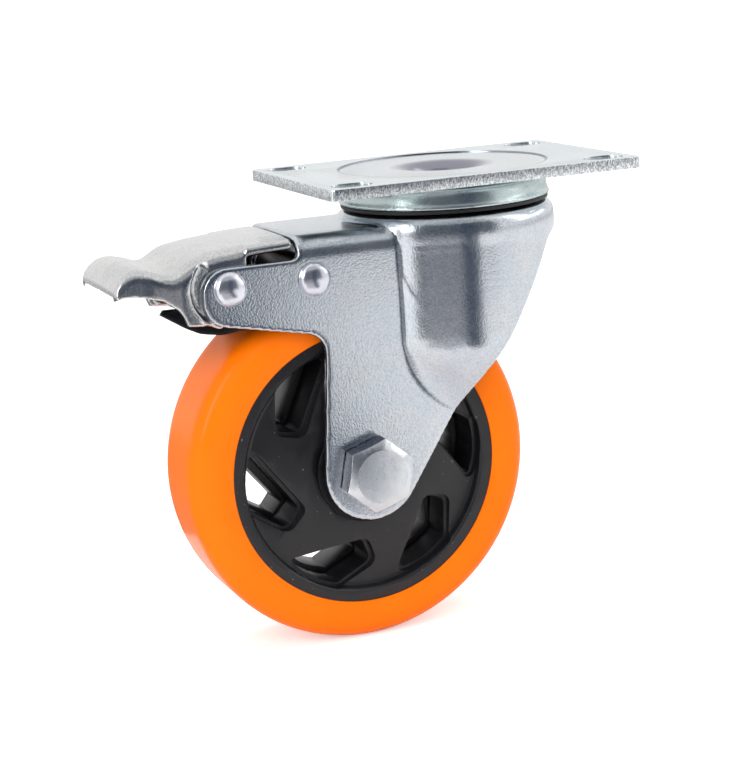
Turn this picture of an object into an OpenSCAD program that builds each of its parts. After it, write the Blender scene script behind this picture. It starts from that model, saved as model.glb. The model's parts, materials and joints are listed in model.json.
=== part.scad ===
// Swivel castor with a top plate, a pressed fork, a foot brake and a bonded tyre.
// Origin: centre of the plate's top face, on the swivel axis. +Z is up, the wheel trails
// towards -X, the brake pedal points to -X and the axle bolt's head is on the -Y side.

/* [Wheel] */
// Diameter of the tyre's tread
wheel_d = 100; // [96:0.5:102]
// Overall width of the tyre
wheel_w = 31; // [29:0.5:32]
// Depth of the tyre outside the hub's rim
tyre_depth = 11.4; // [10:0.1:12]
// Radial width of the hub's raised rim ring
rim_ring = 3.6; // [3:0.1:4]
// Width of the hub over its rim and boss
hub_w = 30; // [29:0.5:31]
// Radius of the tread's shoulder
tread_round = 7; // [5:0.5:8]
// Length of the flat tread between the shoulders
tread_flat = 15.2; // [12:0.2:18]
// Depth of the hub's web below the rim ring
web_dish = 2.4; // [1.5:0.1:3.5]
// Number of leaf-shaped windows in the hub
leaf_count = 6; // [4:1:6]
// Depth of the ledge round each window
leaf_ledge = 1.2; // [0.6:0.1:2]
// Width of the ledge round each window
leaf_rim = 1; // [0.5:0.1:1.2]
// Inset of each window's far half from its near half
leaf_draft = 1.9; // [0.6:0.1:1.9]
// Turn of each window's far half from its near half, in degrees
leaf_turn = 2; // [-6:0.5:6]

/* [Plate] */
// Length of the plate along the trail
plate_l = 92; // [88:0.5:110]
// Width of the plate
plate_w = 65; // [62:0.5:90]
// Thickness of the plate's sheet
plate_t = 3; // [2.5:0.1:3.6]
// Corner radius of the plate
plate_corner = 2; // [1:0.5:6]
// Distance from each slot's centre to the plate's end
slot_end_gap = 8.5; // [8:0.1:10]
// Distance from each slot's centre to the plate's long side
slot_side_gap = 7; // [6.5:0.1:9]
// Width of each slot
slot_w = 8.5; // [7:0.1:9]
// End-to-end length of each slot
slot_l = 11.5; // [10:0.1:12]
// Radius of the pressed bearing zone in the plate
press_r = 29.35; // [27:0.05:31]
// Depth of the pressed bearing zone
press_drop = 0.4; // [0.2:0.1:0.8]
// Radius of the bend down into the plate's throat
throat_bend = 5.5; // [4.5:0.1:7]

/* [Swivel] */
// Distance from the swivel axis to the axle
trail = 34.4; // [32:0.1:36]
// Free height from the tyre's top to the plate's top
head_room = 30; // [29:0.5:36]
// Radius of the kingpin
kingpin_r = 8; // [7:0.1:8.4]
// Thickness of the upper cup's sheet
cup_t = 2.2; // [1.8:0.1:2.4]
// Radius of the upper cup's rim
cup_r = 29.85; // [29:0.05:30.5]
// Depth of the cup's rim below the plate's top
cup_drop = 9.4; // [9.2:0.05:9.6]
// Diameter of the upper swivel balls
upper_ball_d = 4.76; // [4.5:0.02:4.9]
// Number of upper swivel balls
upper_ball_count = 24; // [12:1:26]
// Radius of the upper ball circle
upper_pitch_r = 22; // [21:0.1:22.4]
// Diameter of the lower swivel balls
lower_ball_d = 3.96; // [3.7:0.02:4.1]
// Number of lower swivel balls
lower_ball_count = 18; // [9:1:20]
// Radius of the lower ball circle
lower_pitch_r = 14; // [13.6:0.1:14.6]
// Thickness of the lower race
lower_race_t = 3; // [2.5:0.1:3.5]

/* [Fork] */
// Thickness of the fork's sheet
fork_t = 2.5; // [2:0.1:2.8]
// Outer distance across the fork's flat sides
fork_w = 41; // [40.5:0.1:43]
// Radius of the crown round the swivel axis
crown_r = 30.8; // [30:0.1:33]
// Radius of the crown's pressed shoulder
crown_round = 3.6; // [3:0.1:4.5]
// Radius of the rounded leg end about the axle
leg_end_r = 13.8; // [12.5:0.1:15]
// Lean of the leg's front edge from upright, in degrees
front_lean = 4.3; // [2:0.1:7]
// Lean of the leg's rear edge from upright, in degrees
rear_lean = 33.6; // [30:0.1:35]
// Height of the arm's closed top above its rivets
arm_top_rise = 11.5; // [10.8:0.1:11.6]
// Outer radius of the bend along the arm's top
arm_bend = 5.8; // [4:0.1:6.2]
// Height of the arm's open upper edge above its rivets
arm_edge_rise = 5.6; // [5:0.1:6.2]
// Depth of the arm's lower edge below its rivets
arm_low_drop = 9; // [8.6:0.1:9.6]
// Distance from the swivel axis to the arm's rounded end
arm_reach = 78.9; // [78.4:0.1:80.4]
// Distance from the brake tongue's rivet to the start of the arm's closed top
arm_web_gap = 4.1; // [3.4:0.1:5]

/* [Brake] */
// Distance from the arm's end to the pedal's rivet
pedal_pin_inset = 7.4; // [7:0.1:7.8]
// Distance between the pedal's rivet and the brake tongue's rivet
pin_pitch = 23.8; // [23:0.1:24.5]
// Gap between the released brake tongue and the tread
brake_gap = 2.1; // [2:0.1:3]
// Radius of the rivets' shanks
pin_r = 3; // [2.5:0.1:3.4]
// Radius of the rivets' domed heads
pin_head_r = 4.75; // [4.2:0.05:5.5]
// Height of the rivets' domed heads
pin_head_h = 2.4; // [1.8:0.1:3.2]
// Thickness of the pedal's sheet
pedal_t = 2; // [1.6:0.1:2.2]
// Half width of the pedal where it runs inside the arm
pedal_half_w = 17.7; // [17.2:0.05:17.75]
// Half width of the pedal where it swells in front of the arm
pedal_swell = 19.5; // [18.6:0.1:19.6]
// Length of the pedal's toe in front of the arm
toe_reach = 23; // [21:0.5:24]
// Half width of the pedal at its toe
pedal_toe = 18; // [16.5:0.1:18.5]
// Clearance of the pedal's flank round the arm's end
notch_gap = 3; // [2.8:0.1:3.4]
// Thickness of the brake tongue
tongue_t = 1.8; // [1.5:0.1:2]
// Width of the brake tongue
tongue_w = 30; // [24:0.5:30.4]
// Outer radius of the eye rolled round the tongue's rivet
tongue_eye_r = 4.9; // [4.6:0.1:5]

/* [Axle] */
// Radius of the axle bolt
axle_r = 5.95; // [5.5:0.05:6]
// Size of the bolt's head across its flats
head_flats = 18; // [17:0.1:19]
// Height of the bolt's head
head_h = 6.9; // [6:0.1:8]
// Turn of the bolt's head about its axis, in degrees
head_turn = 18.5; // [0:0.5:60]
// Size of the nut across its flats
nut_flats = 18; // [17:0.1:19]
// Height of the nut without its collar
nut_h = 10; // [9:0.1:11]
// Length of the bolt's shank under its head
bolt_l = 55; // [54:0.5:60]
// Outer radius of the wheel bearings
bearing_r = 14; // [13.6:0.1:14.2]
// Width of the wheel bearings
bearing_w = 8; // [7:0.1:9]
// Radius of the bearing balls' circle
bearing_pitch_r = 10; // [9.8:0.1:10.2]
// Number of balls in each wheel bearing
bearing_ball_count = 8; // [5:1:9]
// Radius of the dust covers beside the wheel
cover_r = 15; // [14.4:0.1:15.4]

/* [Clearances] */
// Radial running clearance of pins in their holes
run_gap = 0.08; // [0.05:0.01:0.1]
// Gap between parts that are fitted together and do not move
fit_gap = 0.05; // [0.02:0.01:0.08]
// Clearance of each bearing ball in its grooves
ball_gap = 0.22; // [0.15:0.01:0.28]

/* [Hidden] */

$fn = 96;
zinc = "#cfd3d8";
bright_zinc = "#e2e5ea";
black_steel = "#2b2b2e";
black_plastic = "#2e2d33";
orange = "#ff7f27";

// Places that follow from the sizes above
axle = [-trail, -(head_room + wheel_d / 2)];
rim_r = wheel_d / 2 - tyre_depth;
rim_in = rim_r - rim_ring;
half_fork = fork_w / 2;
inner_fork = half_fork - fork_t;
slot_pitch_x = plate_l - 2 * slot_end_gap;
slot_pitch_y = plate_w - 2 * slot_side_gap;
tongue_pin_x = -(arm_reach - pedal_pin_inset - pin_pitch);
tongue_pin_r = wheel_d / 2 + brake_gap + tongue_eye_r;
pin_z = axle[1] + sqrt(pow(tongue_pin_r, 2) - pow(tongue_pin_x - axle[0], 2));
pedal_pin = [tongue_pin_x - pin_pitch, pin_z];
tongue_pin = [tongue_pin_x, pin_z];
notch_r = pedal_pin_inset + notch_gap;
cup_top = -(plate_t + press_drop);
cup_under = cup_top - cup_t;
groove_depth = 0.65;
upper_groove_r = upper_ball_d / 2 + ball_gap;
upper_ball_z = cup_under - (upper_groove_r - groove_depth);
deck_z = upper_ball_z - (upper_groove_r - groove_depth);
deck_under = deck_z - fork_t;
lower_groove_r = lower_ball_d / 2 + ball_gap;
lower_ball_z = deck_under - (lower_groove_r - groove_depth);
lower_race_z = lower_ball_z - (lower_groove_r - groove_depth);
kingpin_head_z = lower_race_z - lower_race_t;
throat_r = kingpin_r + fit_gap + throat_bend;
throat_z = -press_drop - throat_bend;
seal_gap = 0.4;
shoulder_z = -(cup_drop + 1.4);
skirt_z = -24;
fade_z = -58;

// Small helpers for outlines in the plane of the page
function unit(v) = v / norm(v);

function turn_between(a, b) = let (d = b - a) d > 180 ? d - 360 : d < -180 ? d + 360 : d;

// Points of one corner rounded to radius r, and grown outwards by g from its arc's centre
function corner(p0, p1, p2, r, g) =
    let (a = unit(p0 - p1), b = unit(p2 - p1), half = acos(a * b) / 2,
        c = p1 + unit(a + b) * r / sin(half),
        t0 = p1 + a * r / tan(half) - c, t1 = p1 + b * r / tan(half) - c,
        s = atan2(t0[1], t0[0]), d = turn_between(s, atan2(t1[1], t1[0])),
        steps = max(2, ceil(abs(d) / 9)))
    [for (i = [0:steps]) c + (r + g) * [cos(s + d * i / steps), sin(s + d * i / steps)]];

// Closed outline from [x, y, radius] corners, where a radius of 0 stays sharp
function rounded(pts, g = 0) =
    let (n = len(pts))
    [for (i = [0:n - 1])
        let (p0 = pts[(i + n - 1) % n], p1 = pts[i], p2 = pts[(i + 1) % n])
        each (p1[2] > 0
            ? corner([p0[0], p0[1]], [p1[0], p1[1]], [p2[0], p2[1]], p1[2], g)
            : [[p1[0], p1[1]]])];

// Open centre line with its inner corners rounded, for folded strips
function bent(pts) =
    let (n = len(pts))
    [for (i = [0:n - 1])
        each (i > 0 && i < n - 1 && pts[i][2] > 0
            ? corner([pts[i - 1][0], pts[i - 1][1]], [pts[i][0], pts[i][1]],
                [pts[i + 1][0], pts[i + 1][1]], pts[i][2], 0)
            : [[pts[i][0], pts[i][1]]])];

function left_of(v) = [-v[1], v[0]];

// Line moved sideways by d, to the left of its run
function beside(p, d) =
    let (n = len(p))
    [for (i = [0:n - 1]) p[i] + d * left_of(unit(p[min(i + 1, n - 1)] - p[max(i - 1, 0)]))];

function backwards(p) = [for (i = [len(p) - 1:-1:0]) p[i]];

function strip(p, t) = concat(beside(p, t / 2), backwards(beside(p, -t / 2)));

function smooth_step(t) = let (c = min(1, max(0, t))) c * c * (3 - 2 * c);

// Extrudes an outline drawn in X and Z from y0 to y1
module side_plate(y0, y1) {
    translate([0, y1, 0])
        rotate([90, 0, 0])
            linear_extrude(y1 - y0)
                children();
}

// Turns a revolved shape about Z so that it revolves about the axle, its Z along +Y
module on_axle() {
    translate([axle[0], 0, axle[1]])
        rotate([-90, 0, 0])
            children();
}

module cross_pin(at, r, y0, y1) {
    translate([at[0], y0, at[1]])
        rotate([-90, 0, 0])
            cylinder(h = y1 - y0, r = r);
}

module tube(r_out, r_in, z0, z1) {
    translate([0, 0, z0])
        difference() {
            cylinder(h = z1 - z0, r = r_out);
            translate([0, 0, -1])
                cylinder(h = z1 - z0 + 2, r = r_in);
        }
}

module ring_groove(pitch_r, r) {
    rotate_extrude()
        translate([pitch_r, 0])
            circle(r = r, $fn = 48);
}

module ball_ring(pitch_r, d, count) {
    for (i = [0:count - 1])
        rotate(i * 360 / count)
            translate([pitch_r, 0, 0])
                sphere(d = d, $fn = 32);
}

module hexagon(flats, h) {
    cylinder(h = h, d = flats / cos(30), $fn = 6);
}

// Plate with four slots, a pressed bearing zone and a throat drawn down round the kingpin
module slot_cut() {
    for (x = [-1, 1])
        translate([x * (slot_l - slot_w) / 2, 0, -plate_t - 1])
            cylinder(h = plate_t + 2, d = slot_w);
    translate([-(slot_l - slot_w) / 2, -slot_w / 2, -plate_t - 1])
        cube([slot_l - slot_w, slot_w, plate_t + 2]);
}

module top_plate() {
    lip_l = 2.5;
    corner_pts = [[-plate_l / 2, -plate_w / 2, plate_corner], [plate_l / 2, -plate_w / 2, plate_corner],
        [plate_l / 2, plate_w / 2, plate_corner], [-plate_l / 2, plate_w / 2, plate_corner]];
    outer_bend = throat_bend - plate_t;
    color(zinc) difference() {
        union() {
            translate([0, 0, -plate_t])
                linear_extrude(plate_t)
                    polygon(rounded(corner_pts));
            translate([0, 0, cup_top])
                cylinder(h = plate_t, r = press_r);
            translate([0, 0, throat_z])
                rotate_extrude()
                    difference() {
                        square([throat_r, -throat_z - 1]);
                        translate([throat_r, 0])
                            circle(r = outer_bend);
                    }
            translate([0, 0, throat_z - lip_l])
                cylinder(h = lip_l + 0.5, r = throat_r - outer_bend);
        }
        translate([0, 0, -press_drop])
            cylinder(h = 2, r = press_r);
        translate([0, 0, throat_z])
            rotate_extrude()
                difference() {
                    square([throat_r, throat_bend + 1]);
                    translate([throat_r, 0])
                        circle(r = throat_bend);
                }
        translate([0, 0, throat_z - lip_l - 1])
            cylinder(h = lip_l + 2, r = kingpin_r + fit_gap);
        for (x = [-1, 1], y = [-1, 1])
            translate([x * slot_pitch_x / 2, y * slot_pitch_y / 2, 0])
                slot_cut();
    }
}

// Flared cup under the plate, with the upper ball groove in its flat floor
module upper_race_cup() {
    flare = [[throat_r + 0.15, cup_top, 0], [cup_r - 1.2, cup_top, 2.6], [cup_r - 0.5, -cup_drop + 1.2, 1],
        [cup_r, -cup_drop + 0.7, 0.3], [cup_r, -cup_drop, 0], [cup_r - 2, -cup_drop, 0],
        [cup_r - 1.2 - cup_t, cup_under, 1], [throat_r + 0.15, cup_under, 0]];
    color(zinc) difference() {
        rotate_extrude()
            polygon(rounded(flare));
        translate([0, 0, upper_ball_z])
            ring_groove(upper_pitch_r, upper_groove_r);
    }
}

module kingpin() {
    top_z = throat_z + 0.9;
    head_r = lower_pitch_r - lower_groove_r - 0.2;
    color(bright_zinc) rotate_extrude()
        polygon(rounded([[0, top_z, 0], [kingpin_r, top_z, 0.8], [kingpin_r, kingpin_head_z, 0],
            [head_r, kingpin_head_z, 0], [head_r, kingpin_head_z - 3.2, 2.4], [0, kingpin_head_z - 3.2, 0]]));
}

module lower_race() {
    rim_r = lower_pitch_r + lower_groove_r + 3;
    color(zinc) difference() {
        rotate_extrude()
            polygon(rounded([[kingpin_r + fit_gap, kingpin_head_z, 0], [rim_r, kingpin_head_z, 1],
                [rim_r, lower_race_z, 1], [kingpin_r + fit_gap, lower_race_z, 0]]));
        translate([0, 0, lower_ball_z])
            ring_groove(lower_pitch_r, lower_groove_r);
    }
}

module swivel_seal() {
    neck = cup_r - 2.75;
    flange_z = -cup_drop - 0.1;
    seal_low = shoulder_z + seal_gap;
    color(black_plastic) rotate_extrude()
        polygon([[neck - 0.8, flange_z + 1.2], [neck, flange_z + 1.2], [neck, flange_z],
            [cup_r - 0.5, flange_z], [cup_r - 0.5, seal_low], [neck - 0.8, seal_low]]);
}

// Radius of the crown's wall, full under the shoulder and fading into the fork's flat sides
function crown_wall_r(z) =
    half_fork + (crown_r - half_fork) * smooth_step((z - fade_z) / (skirt_z - fade_z));

// Solid of revolution bounded by the crown's outer face (inset 0) or its inner face (inset fork_t)
module crown_form(inset) {
    land_r = upper_pitch_r + 3;
    shoulder_c = [crown_r - crown_round, shoulder_z - crown_round];
    round_r = crown_round - inset;
    wall_steps = 14;
    rotate_extrude()
        polygon(concat(
            [[0, deck_z - inset], [land_r - inset / 2, deck_z - inset], [land_r + 1.2 - inset / 2, shoulder_z - inset]],
            [for (a = [90:-15:0]) shoulder_c + round_r * [cos(a), sin(a)]],
            [for (i = [0:wall_steps])
                let (z = skirt_z + (fade_z - skirt_z) * i / wall_steps)
                [crown_wall_r(z) - inset, z]],
            [[half_fork - inset, fade_z - 1], [0, fade_z - 1]]));
}

// Straight channel of the arm and legs, outer face with inset 0 and inner face with inset fork_t
module channel_form(inset) {
    w = half_fork - inset;
    top = pin_z + arm_top_rise - inset;
    low = axle[1] - leg_end_r - 2;
    reach = arm_reach + 5;
    translate([-reach, 0, 0])
        rotate([90, 0, 90])
            linear_extrude(reach)
                polygon(rounded([[-w, low, 0], [w, low, 0], [w, top, arm_bend - inset],
                    [-w, top, arm_bend - inset]]));
}

// Side outline that the fork's sheet is trimmed to
function leg_edge(side, lean, h) = [axle[0] + side * leg_end_r / cos(lean) + h * tan(lean), axle[1] + h];

function fork_outline() =
    let (mid = (front_lean + rear_lean) / 2, half = (rear_lean - front_lean) / 2,
        tip = axle - leg_end_r / sin(half) * [sin(mid), cos(mid)],
        knee = leg_edge(-1, front_lean, pin_z - arm_low_drop - 6.9 - axle[1]),
        hip = leg_edge(1, rear_lean, shoulder_z - 9.7 - axle[1]),
        edge = pin_z + arm_edge_rise, arm_low = pin_z - arm_low_drop, web = tongue_pin_x - arm_web_gap)
    [[-arm_reach, edge, 7], [web, edge, 1.6], [web, 2, 0],
        [crown_r + 3, 2, 0], [crown_r + 3, hip[1] + 2.5, 0], [hip[0], hip[1], 6],
        [tip[0], tip[1], leg_end_r], [knee[0], knee[1], 6], [-arm_reach, arm_low, 7.2]];

module fork() {
    color(zinc) difference() {
        intersection() {
            union() {
                crown_form(0);
                channel_form(0);
            }
            side_plate(-crown_r - 2, crown_r + 2)
                polygon(rounded(fork_outline()));
        }
        crown_form(fork_t);
        channel_form(fork_t);
        translate([0, 0, deck_under - 1])
            cylinder(h = fork_t + 2, r = kingpin_r + 1.6);
        translate([0, 0, upper_ball_z])
            ring_groove(upper_pitch_r, upper_groove_r);
        translate([0, 0, lower_ball_z])
            ring_groove(lower_pitch_r, lower_groove_r);
        cross_pin(axle, axle_r + run_gap, -half_fork - 1, half_fork + 1);
        cross_pin(pedal_pin, pin_r + fit_gap, -half_fork - 1, half_fork + 1);
        cross_pin(tongue_pin, pin_r + fit_gap, -half_fork - 1, half_fork + 1);
    }
}

module upper_swivel_balls() {
    color(bright_zinc) translate([0, 0, upper_ball_z])
        ball_ring(upper_pitch_r, upper_ball_d, upper_ball_count);
}

module lower_swivel_balls() {
    color(bright_zinc) translate([0, 0, lower_ball_z])
        ball_ring(lower_pitch_r, lower_ball_d, lower_ball_count);
}

// Axle bolt, nut and the pieces threaded on it
module axle_bolt() {
    corner_r = head_flats / 2 / cos(30);
    face_r = head_flats * 0.41;
    bevel_h = (corner_r - face_r) * 0.55;
    seat_h = 0.7;
    color(bright_zinc) on_axle() {
        intersection() {
            translate([0, 0, -half_fork - head_h])
                rotate(-head_turn)
                    hexagon(head_flats, head_h - seat_h);
            rotate_extrude()
                polygon([[0, -half_fork - head_h], [face_r, -half_fork - head_h],
                    [corner_r + 0.1, -half_fork - head_h + bevel_h], [corner_r + 0.1, -half_fork],
                    [0, -half_fork]]);
        }
        rotate_extrude()
            polygon([[0, -half_fork - seat_h - 0.5], [head_flats * 0.47, -half_fork - seat_h - 0.5],
                [head_flats * 0.47, -half_fork], [axle_r, -half_fork], [axle_r, -half_fork + bolt_l - 1],
                [axle_r - 1, -half_fork + bolt_l], [0, -half_fork + bolt_l]]);
    }
}

module axle_nut() {
    corner_r = nut_flats / 2 / cos(30);
    collar_r = nut_flats * 0.44;
    color(bright_zinc) on_axle() difference() {
        union() {
            intersection() {
                translate([0, 0, half_fork])
                    rotate(12)
                        hexagon(nut_flats, nut_h);
                rotate_extrude()
                    polygon([[0, half_fork], [nut_flats * 0.46, half_fork], [corner_r + 0.1, half_fork + 1.4],
                        [corner_r + 0.1, half_fork + nut_h - 1.4], [nut_flats * 0.46, half_fork + nut_h],
                        [0, half_fork + nut_h]]);
            }
            translate([0, 0, half_fork + nut_h - 0.5])
                cylinder(h = 2.6, r1 = collar_r, r2 = collar_r - 0.8);
        }
        translate([0, 0, half_fork - 1])
            cylinder(h = nut_h + 6, r = axle_r + fit_gap);
        translate([0, 0, half_fork + nut_h - 0.4])
            cylinder(h = 1.9, r = axle_r + 0.9);
    }
}

module nut_insert() {
    color("#3a6ea8") on_axle()
        tube(axle_r + 0.9 - fit_gap, axle_r + fit_gap, half_fork + nut_h - 0.4, half_fork + nut_h + 1.4);
}

boss_half = hub_w / 2;
race_in_r = 8.5;
race_out_r = 11.5;
bearing_y = boss_half - bearing_w / 2;
bearing_ball_d = 4.76;
bearing_groove_r = bearing_ball_d / 2 + 0.12;

module axle_sleeve() {
    color(zinc) on_axle()
        tube(race_in_r, axle_r + fit_gap, -boss_half + bearing_w, boss_half - bearing_w);
}

// Cover beside the bearing: a short sleeve against the inner race and a flat dust disc
module dust_cover() {
    disc_z = boss_half + 1.1;
    color(black_steel) on_axle() difference() {
        rotate_extrude()
            polygon(rounded([[0, boss_half, 0], [race_in_r - 0.4, boss_half, 0], [race_in_r - 0.4, disc_z, 0],
                [cover_r, disc_z, 0.3], [cover_r, disc_z + 1.2, 0.3], [race_in_r + 2, disc_z + 1.2, 0],
                [race_in_r + 1.4, inner_fork, 0], [0, inner_fork, 0]]));
        translate([0, 0, boss_half - 1])
            cylinder(h = 6, r = axle_r + fit_gap);
    }
}

module near_dust_cover() mirror([0, 1, 0]) dust_cover();

module far_dust_cover() dust_cover();

module inner_race() {
    color(bright_zinc) on_axle() difference() {
        tube(race_in_r, axle_r + fit_gap, bearing_y - bearing_w / 2, bearing_y + bearing_w / 2);
        translate([0, 0, bearing_y])
            ring_groove(bearing_pitch_r, bearing_groove_r);
    }
}

module outer_race() {
    color(bright_zinc) on_axle() difference() {
        tube(bearing_r, race_out_r, bearing_y - bearing_w / 2, bearing_y + bearing_w / 2);
        translate([0, 0, bearing_y])
            ring_groove(bearing_pitch_r, bearing_groove_r);
    }
}

module wheel_balls() {
    color(bright_zinc) on_axle()
        translate([0, 0, bearing_y])
            ball_ring(bearing_pitch_r, bearing_ball_d, bearing_ball_count);
}

module ball_cage() {
    color("#b08d57") on_axle() translate([0, 0, bearing_y]) difference() {
        tube(bearing_pitch_r + 0.7, bearing_pitch_r - 0.7, -2.8, 2.8);
        for (i = [0:bearing_ball_count - 1])
            rotate([0, 90, i * 360 / bearing_ball_count])
                cylinder(h = bearing_pitch_r + 3, d = bearing_ball_d + 0.2, $fn = 48);
    }
}

module bearing_seal() {
    color(black_plastic) on_axle()
        tube(race_out_r - fit_gap, race_in_r + 0.15, bearing_y + bearing_w / 2 - 0.8, bearing_y + bearing_w / 2 - 0.2);
}

module near_inner_race() mirror([0, 1, 0]) inner_race();

module far_inner_race() inner_race();

module near_outer_race() mirror([0, 1, 0]) outer_race();

module far_outer_race() outer_race();

module near_wheel_balls() mirror([0, 1, 0]) wheel_balls();

module far_wheel_balls() wheel_balls();

module near_ball_cage() mirror([0, 1, 0]) ball_cage();

module far_ball_cage() ball_cage();

module near_bearing_seal() mirror([0, 1, 0]) bearing_seal();

module far_bearing_seal() bearing_seal();

// Tyre: flat tread, round shoulders and flanks that run down to the rim ring
module tyre() {
    shoulder_c = [wheel_d / 2 - tread_round, tread_flat / 2];
    flank = [for (a = [0:8:80]) shoulder_c + tread_round * [cos(a), sin(a)]];
    rim_pt = [rim_r, wheel_w / 2];
    half = concat(flank, [rim_pt]);
    color(orange) on_axle()
        rotate_extrude($fn = 144)
            polygon(concat(half, [for (i = [len(half) - 1:-1:0]) [half[i][0], -half[i][1]]]));
}

// Hub: rim ring, dished web with leaf windows, and a boss with two bearing seats
function leaf_corners(turn, tip_r = 1.2, crest_r = rim_in * 0.63) =
    let (at = function (r, a) [r * cos(a + turn), r * sin(a + turn)],
        tip = at(rim_in - 1.6, 104.5), outer = at(rim_in - 0.2, 134),
        heel = at(rim_in * 0.797, 153), inner = at(rim_in * 0.597, 147),
        crest = at(rim_in + 0.4, 119))
    [[tip[0], tip[1], tip_r], [crest[0], crest[1], crest_r], [outer[0], outer[1], 2.4],
        [heel[0], heel[1], 2.6], [inner[0], inner[1], 2.2]];

module leaf_cut(turn) {
    through = hub_w / 2 + 1;
    floor_y = hub_w / 2 - web_dish - leaf_ledge;
    translate([axle[0], 0, axle[1]]) {
        side_plate(-through, 0.1)
            polygon(rounded(leaf_corners(turn), -0.4));
        side_plate(-0.1, through)
            polygon(rounded(leaf_corners(turn + leaf_turn, 2.2, rim_in * 0.37), -leaf_draft));
        for (y = [-1, 1])
            side_plate(y > 0 ? floor_y : -through, y > 0 ? through : -floor_y)
                polygon(rounded(leaf_corners(y > 0 ? turn + leaf_turn : turn), leaf_rim - 0.4));
    }
}

module hub() {
    half = hub_w / 2;
    face = [[bearing_r, half], [rim_in * 0.5, half], [rim_in * 0.6, half - 0.3], [rim_in * 0.714, half - 0.9],
        [rim_in * 0.829, half - 1.7],
        [rim_in - 1.4, half - web_dish], [rim_in - 0.5, half - web_dish + 0.2], [rim_in, half - 0.6],
        [rim_in + 0.6, half], [rim_r, half]];
    color(black_plastic) difference() {
        on_axle()
            rotate_extrude($fn = 144)
                polygon(concat(face, [for (i = [len(face) - 1:-1:0]) [face[i][0], -face[i][1]]]));
        for (i = [0:leaf_count - 1])
            leaf_cut(i * 360 / leaf_count);
    }
    // Shoulder that both bearings rest against
    color(black_plastic) on_axle()
        tube(bearing_r + 1, race_out_r + 1, -half + bearing_w, half - bearing_w);
}

// Domed rivets through the arm, with a head at each end
module rivet(at, collar_r, collar_y) {
    dome_r = (pin_head_r * pin_head_r + pin_head_h * pin_head_h) / (2 * pin_head_h);
    color(bright_zinc) translate([at[0], 0, at[1]]) {
        rotate([-90, 0, 0])
            translate([0, 0, -half_fork - 0.2])
                cylinder(h = fork_w + 0.4, r = pin_r);
        for (s = [0, 180])
            rotate([-90, 0, s]) {
                intersection() {
                    translate([0, 0, half_fork + pin_head_h - dome_r])
                        sphere(r = dome_r);
                    translate([0, 0, half_fork])
                        cylinder(h = pin_head_h + 1, r = pin_head_r + 1);
                }
                if (collar_r > 0)
                    translate([0, 0, collar_y])
                        cylinder(h = inner_fork - collar_y, r = collar_r);
            }
    }
}

module pedal_rivet() rivet(pedal_pin, 0, 0);

module tongue_rivet() rivet(tongue_pin, tongue_eye_r - 0.4, tongue_w / 2 + 0.3);

module pedal_spacer() {
    half = pedal_half_w - pedal_t - 0.3;
    color(zinc) translate([pedal_pin[0], 0, pedal_pin[1]])
        rotate([-90, 0, 0])
            tube(pin_r + 1.3, pin_r + fit_gap, -half, half);
}

// Pedal: a lofted channel. Each station is [x, edge height, half width, skirt's lower edge,
// bend radius, rise of the crown at mid width]
function pedal_stations() =
    let (bend = 4, w = pedal_half_w, s = pedal_swell, n = pedal_toe, e = -arm_reach, p = pedal_pin[0],
        k = toe_reach / 23, z = pin_z, tab = pedal_t * 1.15)
    [[e - 23 * k, z + 2, n - 1, z - pedal_t + 1.8, 1.8, 0.3], [e - 22.3 * k, z + 3.4, n, z - pedal_t + 2, 2, 0.4],
        [e - 21.1 * k, z + 5, n, z + 0.5, 2.2, 0.6], [e - 19.1 * k, z + 6.4, n, z + 0.4, 2.4, 0.8],
        [e - 17.1 * k, z + 7, n, z + 0.3, 2.6, 0.9], [e - 14.9 * k, z + 6.9, n, z - 0.2, 2.8, 1],
        [e - 12.6 * k, z + 6.3, n + 0.1, z - 0.8, 2.8, 1.1], [e - 10.3 * k, z + 5.3, n + 0.4, z - 1.4, 3, 1.2],
        [e - 8.5 * k, z + 4.7, n + 0.8, z - 2.8, 3, 1.4], [e - 6.8 * k, z + 4.7, n + 1.2, z - 4, 3.2, 1.4],
        [e - 5.4 * k, z + 5.3, s, z - 6, 3.4, 1.3], [e - 4.3 * k, z + 6, s, z - 8.8, 3.6, 1.2],
        [e - 2.5, z + 7.2, s, z - 9.1, bend, 1.1], [e - 0.5, z + 8.1, s, z - 9.2, bend, 1],
        [e + 1.1, z + 8.6, w + 1, z - 9.4, bend, 0.9], [e + 2.7, z + 9, w, z - 10, bend, 0.8],
        [p - 2.5, z + 9.4, w, z - 11, bend, 0.7], [p - 0.9, z + 9.6, w, z - 10, bend, 0.6],
        [p + 1.5, z + 9.8, w, z - 6.4, bend, 0.6], [p + 5.1, z + 10.1, w, z - 5.8, bend, 0.6],
        [p + 6, z + 10.2, w, z - 5, bend, 0.6], [p + 6.2, z + 10.2, w, z + 10.2 - tab, 1.6, 0.6],
        [p + 11.5, z + 10.5, w, z + 10.5 - tab, 1.6, 0.6], [p + 17.5, z + 10.7, w, z + 10.7 - tab, 1.6, 0.5],
        [p + 18.9, z + 10.8, w, z + 10.8 - tab, 1.6, 0.5]];

// Half of one section, from the skirt's lower edge over the bend to the middle, inset by d
function half_section(st, d) =
    let (w = st[2] - d, top = st[1] - d, r = max(0.8, st[4] - d), low = st[3], steps = 5,
        rise = st[5])
    concat([[w, min(low, top - r - 0.2)]],
        [for (i = [0:steps])
            let (a = 90 * i / steps, y = w - r + r * cos(a))
            [y, top - r + r * sin(a) + rise * (1 - pow(y / st[2], 2)) * sin(a)]],
        [[w / 2, top + rise * 0.75], [0, top + rise]]);

function mirror_half(h) = [for (i = [len(h) - 1:-1:0]) if (h[i][0] > 0) [-h[i][0], h[i][1]]];

function pedal_section(st) =
    let (o = half_section(st, 0), i = half_section(st, pedal_t), inner = concat(i, mirror_half(i)))
    concat(o, mirror_half(o), [for (k = [len(inner) - 1:-1:0]) inner[k]]);

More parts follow.
